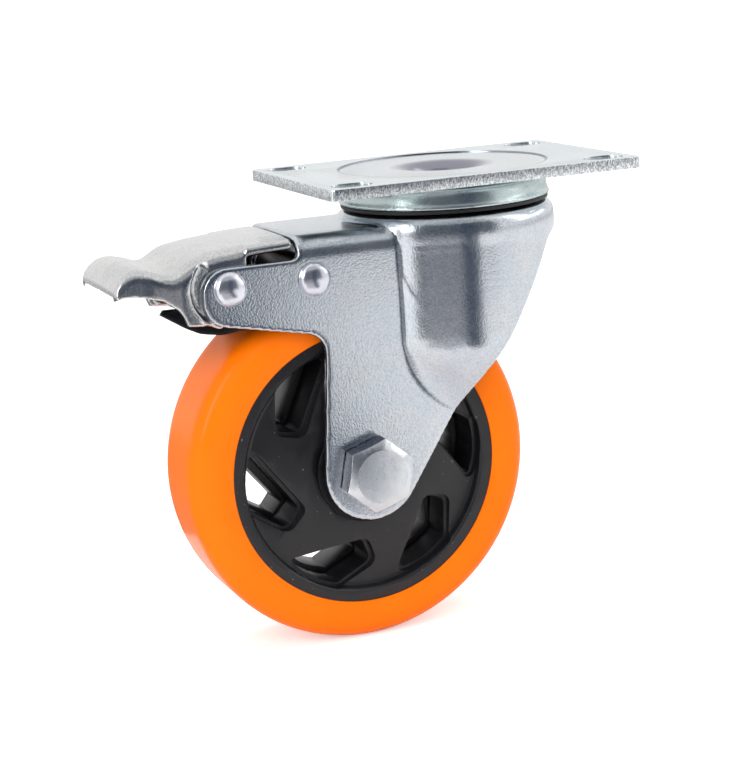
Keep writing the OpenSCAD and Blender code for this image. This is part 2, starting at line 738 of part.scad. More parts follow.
module pedal_shell() {
    rows = [for (st = pedal_stations()) [for (p = pedal_section(st)) [st[0], -p[0], p[1]]]];
    n = len(rows[0]);
    m = len(rows);
    half_n = n / 2;
    polyhedron(
        points = [for (row = rows) each row],
        faces = concat(
            [for (i = [0:m - 2], j = [0:n - 1]) each [
                [i * n + j, i * n + (j + 1) % n, (i + 1) * n + j],
                [i * n + (j + 1) % n, (i + 1) * n + (j + 1) % n, (i + 1) * n + j]]],
            [for (j = [0:half_n - 2]) each [
                [j + 1, j, n - 1 - j], [n - 2 - j, j + 1, n - 1 - j]]],
            [for (j = [0:half_n - 2])
                let (b = (m - 1) * n)
                each [[b + j, b + j + 1, b + n - 1 - j], [b + j + 1, b + n - 2 - j, b + n - 1 - j]]]));
}

module brake_pedal() {
    ear_in = pedal_half_w - pedal_t - 0.3;
    ear_out = pedal_half_w - 0.05;
    ear_l = notch_r + 2.3;
    ear = [[pedal_pin[0] - ear_l, pin_z + 4.1, 1], [pedal_pin[0] - 1.1, pin_z + 5.7, 1],
        [pedal_pin[0] - 1.1, pin_z - 8.5, 2], [pedal_pin[0] - ear_l + 1.4, pin_z - 8.5, 2]];
    lip_x = -arm_reach - 6.5;
    lip_low = pin_z - 4.2;
    color(zinc) difference() {
        union() {
            difference() {
                pedal_shell();
                cross_pin(pedal_pin, notch_r, pedal_half_w + 0.1, half_fork + 2);
                cross_pin(pedal_pin, notch_r, -half_fork - 2, -pedal_half_w - 0.1);
            }
            for (s = [-1, 1])
                side_plate(s > 0 ? ear_in : -ear_out, s > 0 ? ear_out : -ear_in)
                    polygon(rounded(ear));
            // Cross lip that bears on the brake tongue
            translate([lip_x, -ear_out + 0.4, lip_low])
                cube([pedal_t, 2 * ear_out - 0.8, pin_z + 4 - lip_low]);
        }
        cross_pin(pedal_pin, pin_r + run_gap, -half_fork, half_fork);
    }
}

// Brake tongue: a sheet that follows the tread from an eye rolled round its rivet, with a flange
// along each side; the near flange runs on to a tip under the pedal's lip
module tongue_flange(line, front, y0) {
    x = pedal_pin[0];
    top = [[x - 17.1, pin_z - 4.4], [x - 7.5, pin_z - 4.5], [x - 6, pin_z - 5.9], [x + 4.5, pin_z - 5.9],
        [x + 9, pin_z - 6.6]];
    side_plate(y0, y0 + tongue_t)
        polygon(concat([for (p = beside(line, tongue_t / 2)) if (p[0] > front) p],
            [for (p = top) if (p[0] > front) p]));
}

module brake_tongue() {
    pad_r = wheel_d / 2 + brake_gap + tongue_t / 2;
    start = atan2(tongue_pin[1] - axle[1], tongue_pin[0] - axle[0]);
    pad = [for (a = [start + 1:2.5:start + 19]) axle + pad_r * [cos(a), sin(a)]];
    last = pad[len(pad) - 1];
    nose = bent([[last[0] - 1.5, last[1] - 0.7, 0], [pedal_pin[0] - 1, pin_z - 12.3, 8],
        [pedal_pin[0] - 7, pin_z - 11.2, 6], [pedal_pin[0] - 10.9, pin_z - 9.2, 8],
        [pedal_pin[0] - 17.5, pin_z - 4.9, 0]]);
    web_end = pedal_pin[0] - 7;
    flange_line = concat([for (i = [5:len(pad) - 1]) pad[i]], nose);
    color(black_steel) difference() {
        union() {
            side_plate(-tongue_w / 2, tongue_w / 2)
                polygon(strip(concat(pad, [for (p = nose) if (p[0] > web_end) p]), tongue_t));
            cross_pin(tongue_pin, tongue_eye_r, -tongue_w / 2, tongue_w / 2);
            tongue_flange(flange_line, -1000, -tongue_w / 2);
            tongue_flange(flange_line, web_end + 1, tongue_w / 2 - tongue_t);
        }
        cross_pin(tongue_pin, pin_r + run_gap, -tongue_w / 2 - 1, tongue_w / 2 + 1);
    }
}

top_plate();
upper_race_cup();
kingpin();
lower_race();
swivel_seal();
fork();
upper_swivel_balls();
lower_swivel_balls();
axle_bolt();
axle_nut();
nut_insert();
axle_sleeve();
near_dust_cover();
far_dust_cover();
near_inner_race();
far_inner_race();
pedal_rivet();
pedal_spacer();
tongue_rivet();
tyre();
hub();
near_outer_race();
far_outer_race();
near_wheel_balls();
far_wheel_balls();
near_ball_cage();
far_ball_cage();
near_bearing_seal();
far_bearing_seal();
brake_pedal();
brake_tongue();
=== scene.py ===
import json
import math
import bpy
import bmesh
from mathutils import Matrix, Vector


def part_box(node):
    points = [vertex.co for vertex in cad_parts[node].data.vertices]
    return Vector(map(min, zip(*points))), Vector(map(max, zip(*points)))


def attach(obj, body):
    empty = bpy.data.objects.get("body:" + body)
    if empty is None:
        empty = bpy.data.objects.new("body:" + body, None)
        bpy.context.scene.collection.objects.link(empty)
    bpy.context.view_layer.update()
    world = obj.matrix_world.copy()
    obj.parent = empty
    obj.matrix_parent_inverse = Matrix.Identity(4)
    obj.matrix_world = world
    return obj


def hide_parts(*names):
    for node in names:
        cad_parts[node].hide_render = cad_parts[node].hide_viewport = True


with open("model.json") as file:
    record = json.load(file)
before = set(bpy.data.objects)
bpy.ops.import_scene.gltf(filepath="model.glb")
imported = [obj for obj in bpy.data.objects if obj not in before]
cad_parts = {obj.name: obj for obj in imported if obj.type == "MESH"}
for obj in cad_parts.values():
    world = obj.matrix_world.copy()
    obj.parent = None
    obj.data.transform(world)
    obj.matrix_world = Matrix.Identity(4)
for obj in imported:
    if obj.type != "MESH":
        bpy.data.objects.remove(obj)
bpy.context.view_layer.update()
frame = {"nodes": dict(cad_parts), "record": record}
scene = bpy.context.scene
mm = 0.001
bodyOf = {n: b for b, names in frame["record"]["behaviour"]["bodies"].items() for n in names}
print("frame loaded:", len(frame["nodes"]), "nodes")


# small tools

def linearColour(hexText):
    # the usual curve from sRGB to linear light
    channels = [int(hexText[i:i + 2], 16) / 255 for i in (1, 3, 5)]
    return tuple(c / 12.92 if c <= 0.04045 else ((c + 0.055) / 1.055) ** 2.4 for c in channels) + (1.0,)


def addNode(tree, kind, settings=None, inputs=None):
    made = tree.nodes.new(kind)
    for key, value in (settings or {}).items():
        setattr(made, key, value)
    for key, value in (inputs or {}).items():
        if isinstance(value, bpy.types.NodeSocket):
            tree.links.new(value, made.inputs[key])
        else:
            made.inputs[key].default_value = value
    return made


def newMaterial(name):
    material = bpy.data.materials.new(name)
    material.use_nodes = True
    tree = material.node_tree
    tree.nodes.clear()
    surface = addNode(tree, "ShaderNodeBsdfPrincipled")
    addNode(tree, "ShaderNodeOutputMaterial", None, {"Surface": surface.outputs[0]})
    place = addNode(tree, "ShaderNodeTexCoord").outputs["Object"]
    return material, tree, surface, place


def patterns(tree, place, kinds):
    # a noise for each name, given as its size in metres, its detail and its roughness
    made = {}
    for name, (size, detail, rough) in kinds.items():
        given = {"Vector": place, "Scale": 1 / size, "Detail": detail, "Roughness": rough}
        made[name] = addNode(tree, "ShaderNodeTexNoise", None, given).outputs[0]
    return made


def tint(tree, tone, hexText, mask, low, high, share=(0, 1)):
    # the tone turns to another colour as the mask goes from low to high
    part = addNode(tree, "ShaderNodeMapRange", None, {0: mask, 1: low, 2: high, 3: share[0], 4: share[1]})
    given = {0: part.outputs[0], 6: tone, 7: linearColour(hexText)}
    return addNode(tree, "ShaderNodeMix", {"data_type": "RGBA"}, given).outputs[2]


def dress(tree, surface, tone, mask, look, layers):
    # colour, a roughness that follows the mask, and bumps laid over one another
    tree.links.new(tone, surface.inputs["Base Color"])
    low, high = look["rough"]
    rough = addNode(tree, "ShaderNodeMapRange", None, {0: mask, 1: 0.3, 2: 0.7, 3: low, 4: high})
    tree.links.new(rough.outputs[0], surface.inputs["Roughness"])
    under = None
    for height, depth, strength in layers:
        given = {"Height": height, "Distance": depth, "Strength": strength}
        if under:
            given["Normal"] = under
        under = addNode(tree, "ShaderNodeBump", None, given).outputs[0]
    tree.links.new(under, surface.inputs["Normal"])


# materials

def zincSheet(name, look):
    # bright zinc plate on pressed sheet: cool silver, faint clouds of passivation and a crystal grain,
    # which is drawn coarser than the real one so that it shows
    material, tree, surface, place = newMaterial(name)
    noise = patterns(tree, place, {
        "cloud": (look["cloud"], 4.0, 0.6), "grain": (look["grain"], 2.0, 0.6),
        "fleck": (look["fleck"], 5.0, 0.75), "frost": (look["frost"], 2.0, 0.7),
        "wave": (look["cloud"] * 0.4, 1.0, 0.5)})
    tone = tint(tree, linearColour(look["cool"]), look["pale"], noise["cloud"], 0.35, 0.65)
    tone = tint(tree, tone, look["dark"], noise["frost"], 0.42, 0.64, (0, look["frostTone"]))
    tone = tint(tree, tone, look["dark"], noise["fleck"], 0.6, 0.78, (0, look["fleckTone"]))
    surface.inputs["Metallic"].default_value = 1.0
    layers = [(noise["wave"], look["wave"], 1.0), (noise["grain"], look["grainDepth"], 0.8)]
    dress(tree, surface, tone, noise["cloud"], look, layers)
    return material


def shearedZinc(name, look):
    # zinc plate on a sheared blank: even flat faces and a torn bright cut edge, with painted shade in the
    # colour: a thin dark line round the pressed circle, and a darker pressed hollow and throat
    material, tree, surface, place = newMaterial(name)
    noise = patterns(tree, place, {"cloud": (look["cloud"], 4.0, 0.6), "grain": (look["grain"], 3.0, 0.7)})
    stretched = addNode(tree, "ShaderNodeMapping", None, {0: place, 3: (1, 1, 0.6)}).outputs[0]
    tear = patterns(tree, stretched, {"tear": (look["tear"], 4.0, 0.7)})["tear"]

    apart = addNode(tree, "ShaderNodeVectorMath", {"operation": "ABSOLUTE"}, {0: place}).outputs[0]
    apart = addNode(tree, "ShaderNodeSeparateXYZ", None, {0: apart}).outputs
    rims = []
    for axis, half in zip("XY", look["half"]):
        given = {0: apart[axis], 1: half - look["rim"][0], 2: half - look["rim"][1], 3: 0, 4: 1}
        rims.append(addNode(tree, "ShaderNodeMapRange", None, given).outputs[0])
    edge = addNode(tree, "ShaderNodeMath", {"operation": "MAXIMUM"}, {0: rims[0], 1: rims[1]}).outputs[0]

    across = addNode(tree, "ShaderNodeVectorMath", {"operation": "MULTIPLY"}, {0: place, 1: (1, 1, 0)})
    across = addNode(tree, "ShaderNodeVectorMath", {"operation": "LENGTH"}, {0: across.outputs[0]})
    across = across.outputs["Value"]
    offLine = addNode(tree, "ShaderNodeMath", {"operation": "SUBTRACT"}, {0: across, 1: look["line"]})
    offLine = addNode(tree, "ShaderNodeMath", {"operation": "ABSOLUTE"}, {0: offLine.outputs[0]}).outputs[0]

    line, throat = look["line"], look["throat"]
    tone = tint(tree, linearColour(look["cool"]), look["pale"], noise["cloud"], 0.35, 0.65)
    tone = tint(tree, tone, look["dark"], noise["grain"], 0.42, 0.62, (0, look["grainTone"]))
    # painted shade: a dark line round the pressed circle, a slightly darker hollow inside it and a darker throat
    tone = tint(tree, tone, look["paintedShade"], offLine, 0.25 * mm, 0.6 * mm, (0.75, 0))
    tone = tint(tree, tone, look["dishShade"], across, line - 3 * mm, line, (0.25, 0))
    tone = tint(tree, tone, look["paintedShade"], across, throat - 2 * mm, throat + 1.5 * mm, (0.85, 0))
    torn = tint(tree, linearColour(look["torn"]), look["bright"], tear, 0.42, 0.58)
    given = {0: edge, 6: tone, 7: torn}
    tone = addNode(tree, "ShaderNodeMix", {"data_type": "RGBA"}, given).outputs[2]
    surface.inputs["Metallic"].default_value = 1.0
    ragged = addNode(tree, "ShaderNodeMath", {"operation": "MULTIPLY"}, {0: tear, 1: edge}).outputs[0]
    layers = [(noise["grain"], look["grainDepth"], 0.8), (ragged, look["tearDepth"], 1.0)]
    dress(tree, surface, tone, noise["cloud"], look, layers)
    return material


def smoothMetal(name, look):
    # turned, headed, ground or pressed metal, smoother than the sheet: faint stains and a fine grain;
    # zinc plate, bearing steel or brass by its colours
    material, tree, surface, place = newMaterial(name)
    noise = patterns(tree, place, {"cloud": (look["cloud"], 4.0, 0.6), "grain": (0.35 * mm, 2.0, 0.6)})
    tone = tint(tree, linearColour(look["pale"]), look["stain"], noise["cloud"], 0.4, 0.7)
    surface.inputs["Metallic"].default_value = 1.0
    dress(tree, surface, tone, noise["cloud"], look, [(noise["grain"], look["depth"], 1.0)])
    return material


def mouldedPlastic(name, look):
    # moulded polypropylene, seal rubber or nylon: satin, faint flow marks and pale dust specks
    material, tree, surface, place = newMaterial(name)
    noise = patterns(tree, place, {"flow": (9 * mm, 3.0, 0.6), "dust": (0.9 * mm, 2.0, 0.5),
                                   "skin": (0.35 * mm, 2.0, 0.5)})
    given = {0: noise["flow"], 6: linearColour(look["deep"]), 7: linearColour(look["pale"])}
    tone = addNode(tree, "ShaderNodeMix", {"data_type": "RGBA"}, given).outputs[2]
    tone = tint(tree, tone, "#8e8e94", noise["dust"], 0.735, 0.76, (0, look["dust"]))
    dress(tree, surface, tone, noise["flow"], look, [(noise["skin"], 0.02 * mm, 1.0)])
    return material


def castPolyurethane(name, look):
    # cast polyurethane tread: even orange, soft gloss, very slight waves left by the mould
    material, tree, surface, place = newMaterial(name)
    noise = patterns(tree, place, {"cloud": (14 * mm, 3.0, 0.55), "wave": (1.2 * mm, 2.0, 0.5)})
    given = {0: noise["cloud"], 6: linearColour(look["deep"]), 7: linearColour(look["pale"])}
    tone = addNode(tree, "ShaderNodeMix", {"data_type": "RGBA"}, given).outputs[2]
    surface.inputs["Specular IOR Level"].default_value = 0.1
    surface.inputs["Subsurface Weight"].default_value = 0.06
    surface.inputs["Subsurface Radius"].default_value = (0.003, 0.001, 0.0004)
    dress(tree, surface, tone, noise["cloud"], look, [(noise["wave"], 0.015 * mm, 1.0)])
    return material


def blackedSteel(name, look):
    # blacked steel: dark oxide with a dull sheen, rubbed a little along its length
    material, tree, surface, place = newMaterial(name)
    stretched = addNode(tree, "ShaderNodeMapping", None, {0: place, 3: (0.25, 1, 1)}).outputs[0]
    rub = patterns(tree, stretched, {"rub": (3 * mm, 4.0, 0.65)})["rub"]
    grain = patterns(tree, place, {"grain": (0.6 * mm, 2.0, 0.5)})["grain"]
    tone = tint(tree, linearColour(look["deep"]), look["pale"], rub, 0.45, 0.75, (0, 0.5))
    surface.inputs["Metallic"].default_value = 0.7
    dress(tree, surface, tone, rub, look, [(grain, 0.015 * mm, 1.0)])
    return material


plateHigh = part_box("top_plate")[1]
sheetLook = {
    "cool": "#c6ccd3", "pale": "#d3d6da", "dark": "#7f8894", "cloud": 11 * mm, "grain": 0.6 * mm,
    "frost": 0.55 * mm, "frostTone": 0.3, "fleck": 1.6 * mm, "fleckTone": 0.04, "rough": (0.17, 0.22),
    "wave": 0.012 * mm, "grainDepth": 0.045 * mm}
cupLook = dict(sheetLook, cool="#b9c8c8", pale="#cdd7d5", rough=(0.24, 0.3), frostTone=0.12,
               grainDepth=0.012 * mm)
pedalLook = dict(sheetLook, cool="#cdcdcd", pale="#dad9d7", cloud=7 * mm, fleckTone=0.1, rough=(0.17, 0.23))
# the plate's last two colours are painted shade, for the dark line round the pressed circle and the darker hollow
# and throat
plateLook = {
    "cool": "#d2dcdf", "pale": "#dfe4e5", "dark": "#7f8894", "cloud": 16 * mm, "grain": 0.6 * mm,
    "grainTone": 0.12, "grainDepth": 0.012 * mm, "rough": (0.2, 0.27), "tear": 0.42 * mm,
    "tearDepth": 0.12 * mm, "torn": "#a7aeb3", "bright": "#f7f8f8", "rim": (0.3 * mm, 0.1 * mm),
    "half": (plateHigh[0], plateHigh[1]), "line": 29.35 * mm, "throat": 13.7 * mm, "paintedShade": "#83828f",
    "dishShade": "#b9b8bd"}
turnedLook = {"pale": "#dcdee1", "stain": "#c3c8ce", "rough": (0.22, 0.3), "cloud": 6 * mm,
              "depth": 0.008 * mm}
headedLook = {"pale": "#e0e0e8", "stain": "#cfd0d9", "rough": (0.2, 0.26), "cloud": 4 * mm,
              "depth": 0.004 * mm}
# the kingpin's lilac grey is darkened as painted shade of the throat that it sits in
shadedKingpinLook = {"pale": "#a19fae", "stain": "#84828f", "rough": (0.3, 0.4), "cloud": 5 * mm,
               "depth": 0.012 * mm}
ballLook = {"pale": "#dadde2", "stain": "#c6cad0", "rough": (0.08, 0.14), "cloud": 5 * mm,
            "depth": 0.001 * mm}
cageLook = {"pale": "#b08d57", "stain": "#8f7144", "rough": (0.3, 0.4), "cloud": 5 * mm,
            "depth": 0.005 * mm}
hubLook = {"deep": "#100f12", "pale": "#18171b", "dust": 0.5, "rough": (0.34, 0.46)}
sealLook = {"deep": "#101012", "pale": "#1c1c1f", "dust": 0.2, "rough": (0.45, 0.6)}
nylonLook = {"deep": "#2c5c92", "pale": "#3f74ad", "dust": 0.0, "rough": (0.4, 0.5)}
materials = {
    "fork": zincSheet("brightZincFork", sheetLook),
    "plate": shearedZinc("brightZincPlate", plateLook),
    "cup": zincSheet("brightZincCup", cupLook),
    "pedal": zincSheet("brightZincPedal", pedalLook),
    "turned": smoothMetal("turnedZinc", turnedLook),
    "rivet": smoothMetal("headedZinc", headedLook),
    "kingpin": smoothMetal("lilacZinc", shadedKingpinLook),
    "ball": smoothMetal("groundBallSteel", ballLook),
    "hub": mouldedPlastic("mouldedPolypropylene", hubLook),
    "seal": mouldedPlastic("sealRubber", sealLook),
    "nylon": mouldedPlastic("blueNylon", nylonLook),
    "tread": castPolyurethane("castPolyurethane", {"deep": "#fc7006", "pale": "#ff7c0e", "rough": (0.2, 0.26)}),
    "black": blackedSteel("blackedSteel", {"deep": "#131315", "pale": "#2e2e32", "rough": (0.3, 0.42)}),
    "cage": smoothMetal("pressedBrass", cageLook),
}
nodesWith = {
    "plate": ["top_plate"],
    "cup": ["upper_race_cup", "lower_race"],
    "kingpin": ["kingpin"],
    "seal": ["swivel_seal", "near_bearing_seal", "far_bearing_seal"],
    "fork": ["fork"],
    "ball": ["upper_swivel_balls", "lower_swivel_balls", "near_wheel_balls", "far_wheel_balls",
             "near_inner_race", "far_inner_race", "near_outer_race", "far_outer_race"],
    "turned": ["axle_bolt", "axle_nut", "axle_sleeve", "pedal_spacer"],
    "nylon": ["nut_insert"],
    "black": ["near_dust_cover", "far_dust_cover", "brake_tongue"],
    "rivet": ["pedal_rivet", "tongue_rivet"],
    "tread": ["tyre"],
    "hub": ["hub"],
    "cage": ["near_ball_cage", "far_ball_cage"],
    "pedal": ["brake_pedal"],
}
finishOf = {nodeName: finish for finish, nodeNames in nodesWith.items() for nodeName in nodeNames}
for name, node in frame["nodes"].items():
    node.data.materials.clear()
    node.data.materials.append(materials[finishOf[name]])
print("materials made:", len(materials))


# pieces taken from the frame: merged copies with softened edges

def mergedCopy(nodeName, pieceName):
    shape = bmesh.new()
    shape.from_mesh(frame["nodes"][nodeName].data)
    shape.transform(frame["nodes"][nodeName].matrix_world)
    bmesh.ops.remove_doubles(shape, verts=shape.verts, dist=1e-6)
    mesh = bpy.data.meshes.new(pieceName)
    shape.to_mesh(mesh)
    shape.free()
    mesh.materials.append(materials[finishOf[nodeName]])
    piece = bpy.data.objects.new(pieceName, mesh)
    scene.collection.objects.link(piece)
    return piece


def midOf(nodeName):
    low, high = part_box(nodeName)
    return tuple((a + b) / 2 for a, b in zip(low, high))


def flattened(piece):
    # the evaluated mesh takes the place of the piece's own, and its modifiers go
    view = bpy.context.evaluated_depsgraph_get()
    flat = bpy.data.meshes.new_from_object(piece.evaluated_get(view))
    old = piece.data
    piece.modifiers.clear()
    piece.vertex_groups.clear()
    piece.data = flat
    flat.name = piece.name
    bpy.data.meshes.remove(old)


def settle(piece, *nodeNames):
    flattened(piece)
    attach(piece, bodyOf[nodeNames[0]])
    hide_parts(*nodeNames)
    print(piece.name, len(piece.data.polygons), "faces")


def smoothed(piece, passes, weightOf=None):
    soft = piece.modifiers.new("soften", "SMOOTH")
    soft.factor = 0.5
    soft.iterations = passes
    if weightOf:
        group = piece.vertex_groups.new(name="soft")
        for vertex in piece.data.vertices:
            weight = weightOf(vertex)
            if weight > 0.01:
                group.add([vertex.index], weight, "REPLACE")
        soft.vertex_group = "soft"


def step(value, low, high):
    # rises smoothly from 0 at low to 1 at high
    part = min(1, max(0, (value - low) / (high - low)))
    return part * part * (3 - 2 * part)


# pressed pieces: a fine remesh rounds every sheared edge
softened = {
    "fork": {"piece": "pressedFork", "cell": 0.6 * mm, "passes": 4},
    "brake_pedal": {"piece": "pressedPedal", "cell": 0.45 * mm, "passes": 5},
    "upper_race_cup": {"piece": "pressedCup", "cell": 0.5 * mm, "passes": 3},
    "brake_tongue": {"piece": "springTongue", "cell": 0.42 * mm, "passes": 3},
}
# the crown's round wall runs further down the legs than in the solid: lengths in mm, pairs from low to high;
# its foot is crisp where the wall is full and fades out below, and the solid's old foot is smoothed away
crown = {
    "wide": 30.8, "flat": 20.5, "inner": 16, "solid": (-58, -24), "rings": 14, "shown": (-72, -44),
    "top": (-13, -18), "crease": 0.05, "crisp": 0.02, "foot": 16, "ledge": -19.3, "lean": 0.1, "bead": 0.1,
    "beadEnds": ((-5, -9), (-23, -20)), "passes": 60, "sides": 30, "below": 2, "oldFoot": (1, 3),
    "oldHeights": (-31, -36), "light": 0.06, "facing": (0.3, 0.6)}


def solidRadius(z):
    # the solid's wall, straight between its rings
    low, high = crown["solid"]
    along = min(1, max(0, (z - low) / (high - low))) * crown["rings"]
    ring = min(crown["rings"] - 1, int(along))
    here, there = (step(k / crown["rings"], 0, 1) for k in (ring, ring + 1))
    return crown["flat"] + (crown["wide"] - crown["flat"]) * (here + (there - here) * (along - ring))


def shownRadius(z):
    # the render's wall, which leans in a little above the ledge
    lean = crown["lean"] * max(0, z - crown["ledge"])
    return crown["flat"] + (crown["wide"] - crown["flat"]) * step(z, *crown["shown"]) - lean


def standsOut(x, radius, soft):
    # how far a round wall stands out of the flat side, in mm, with its foot softened
    out = math.sqrt(max(0, radius ** 2 - x ** 2)) - crown["flat"]
    if x > 0:
        return out
    part = min(1, max(0, 0.5 + 0.5 * out / soft))
    return out * part + soft * part * (1 - part)


def swell(piece):
    low, high = crown["shown"][0], crown["top"][0]
    (nearEnd, nearFull), (farEnd, farFull) = crown["beadEnds"]
    for vertex in piece.data.vertices:
        x, y, z = vertex.co / mm
        if abs(y) < crown["inner"] or abs(x) > crown["wide"] or not low < z < high:
            continue
        share = step(z, *crown["shown"])
        soft = max(crown["crisp"], crown["crease"] * share + crown["foot"] * share * (1 - share))
        rise = standsOut(x, shownRadius(z), soft) - standsOut(x, solidRadius(z), crown["crisp"])
        ends = step(x, nearEnd, nearFull) * step(x, farEnd, farFull)
        rise += crown["bead"] * math.exp(-(z - crown["ledge"]) ** 2) * ends
        vertex.co.y += math.copysign(rise * step(z, *crown["top"]) * mm, y)
    piece.data.update()


def sideWeight(vertex):
    # the legs' sides and the crown's wall, but not the sheet's edges
    x, y, z = vertex.co / mm
    low, high = crown["shown"][0] - crown["below"], crown["top"][0]
    if abs(y) < crown["inner"] or abs(x) > crown["sides"] or not low < z < high:
        return 0
    foot = math.sqrt(max(0, solidRadius(z) ** 2 - crown["flat"] ** 2))
    near = (1 - step(abs(-x - foot), *crown["oldFoot"])) * step(z, *crown["oldHeights"])
    facing = step(abs(vertex.normal.y), *crown["facing"])
    return max(crown["light"], near) * facing * step(z, *crown["top"])


for nodeName, how in softened.items():
    piece = mergedCopy(nodeName, how["piece"])
    remesh = piece.modifiers.new("fine", "REMESH")
    remesh.mode = "VOXEL"
    remesh.voxel_size = how["cell"] * 1
    remesh.use_smooth_shade = True
    smoothed(piece, how["passes"])
    if nodeName == "fork":
        flattened(piece)
        swell(piece)
        smoothed(piece, crown["passes"] // (1), sideWeight)
    settle(piece, nodeName)


# sheared, moulded and turned pieces: bevelled copies, with the angle in degrees that an edge is bevelled from
bevelled = {
    "hub": {"piece": "mouldedHub", "width": 0.3 * mm, "segments": 2, "from": 20},
    "top_plate": {"piece": "shearedPlate", "width": 0.35 * mm, "segments": 3, "from": 30},
    "axle_bolt": {"piece": "headedBolt", "width": 0.22 * mm, "segments": 3, "from": 20},
    "axle_nut": {"piece": "lockNut", "width": 0.3 * mm, "segments": 3, "from": 25},
    "near_dust_cover": {"piece": "nearDustCap", "width": 0.2 * mm, "segments": 3, "from": 25},
    "far_dust_cover": {"piece": "farDustCap", "width": 0.2 * mm, "segments": 3, "from": 25},
}
flatAngle = 1  # faces that turn by less than this many degrees are joined
for nodeName, how in bevelled.items():
    piece = mergedCopy(nodeName, how["piece"])
    for polygon in piece.data.polygons:
        polygon.use_smooth = True
    flatten = piece.modifiers.new("flatten", "DECIMATE")
    flatten.decimate_type = "DISSOLVE"
    flatten.angle_limit = math.radians(flatAngle)
    edge = piece.modifiers.new("edge", "BEVEL")
    edge.width = how["width"]
    edge.segments = how["segments"]
    edge.limit_method = "ANGLE"
    edge.angle_limit = math.radians(how["from"])
    edge.harden_normals = True
    settle(piece, nodeName)


# tyre: turned section with a flat tread, round shoulders and plain flanks
axleX, axleZ = -34.4 * mm, -80 * mm
tyreLook = {
    "tread": 50 * mm, "flat": 17.4 * mm, "round": 6 * mm, "rim": 38.6 * mm, "rimHalf": 15.5 * mm,
    "lip": 0.35 * mm, "lipIn": 0.04 * mm, "treadSteps": 3, "arc": (0, 81, 8), "steps": 192}


def turnedMesh(name, section, steps, material):
    # section: (radius, along) points in order round the closed profile, turned about the axle
    shape = bmesh.new()
    rings = []
    for k in range(steps):
        angle = 2 * math.pi * k / steps
        rings.append([shape.verts.new((axleX + r * math.cos(angle), y, axleZ + r * math.sin(angle)))
                      for r, y in section])
    count = len(section)
    for k in range(steps):
        here, there = rings[k], rings[(k + 1) % steps]
        for i in range(count):
            j = (i + 1) % count
            shape.faces.new((here[i], here[j], there[j], there[i]))
    bmesh.ops.recalc_face_normals(shape, faces=shape.faces)
    for face in shape.faces:
        face.smooth = True
    mesh = bpy.data.meshes.new(name)
    shape.to_mesh(mesh)
    shape.free()
    mesh.materials.append(material)
    piece = bpy.data.objects.new(name, mesh)
    scene.collection.objects.link(piece)
    return piece


def tyreSection(look):
    shoulderR, shoulderY = look["tread"] - look["round"], look["flat"] / 2
    side = [(look["tread"], shoulderY * k / look["treadSteps"]) for k in range(look["treadSteps"])]
    for degrees in range(*look["arc"]):
        a = math.radians(degrees)
        side.append((shoulderR + look["round"] * math.cos(a), shoulderY + look["round"] * math.sin(a)))
    side.append((look["rim"] + look["lip"], look["rimHalf"] - look["lipIn"]))
    side.append((look["rim"], look["rimHalf"] - look["lip"]))
    return side + [(r, -y) for r, y in reversed(side[1:])]


tyre = turnedMesh("castTyre", tyreSection(tyreLook), tyreLook["steps"], materials["tread"])
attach(tyre, "wheel")
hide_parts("tyre")
print("tyre turned")


# small repeats, grown by geometry nodes

def growthTree(name, wants):
    # geometry tree that adds what it makes to the geometry that comes in
    tree = bpy.data.node_groups.new(name, "GeometryNodeTree")
    tree.interface.new_socket("Geometry", in_out="INPUT", socket_type="NodeSocketGeometry")
    for label, kind in wants.items():
        tree.interface.new_socket(label, in_out="INPUT", socket_type="NodeSocket" + kind)
    tree.interface.new_socket("Geometry", in_out="OUTPUT", socket_type="NodeSocketGeometry")
    return tree, addNode(tree, "NodeGroupInput").outputs


def finishTree(tree, given, made):
    plain = addNode(tree, "GeometryNodeRealizeInstances", None, {"Geometry": made})
    smooth = addNode(tree, "GeometryNodeSetShadeSmooth", None, {"Geometry": plain.outputs[0]})
    wanted = {"Geometry": smooth.outputs[0], "Material": given["Material"]}
    coated = addNode(tree, "GeometryNodeSetMaterial", None, wanted)
    joined = addNode(tree, "GeometryNodeJoinGeometry")
    tree.links.new(coated.outputs[0], joined.inputs[0])
    tree.links.new(given["Geometry"], joined.inputs[0])
    addNode(tree, "NodeGroupOutput", None, {0: joined.outputs[0]})


def grow(name, runs):
    piece = bpy.data.objects.new(name, bpy.data.meshes.new(name))
    scene.collection.objects.link(piece)
    for tree, values in runs:
        modifier = piece.modifiers.new("grow", "NODES")
        modifier.node_group = tree
        for item in tree.interface.items_tree:
            if item.in_out == "INPUT" and item.name in values:
                modifier[item.identifier] = values[item.name]
    return piece


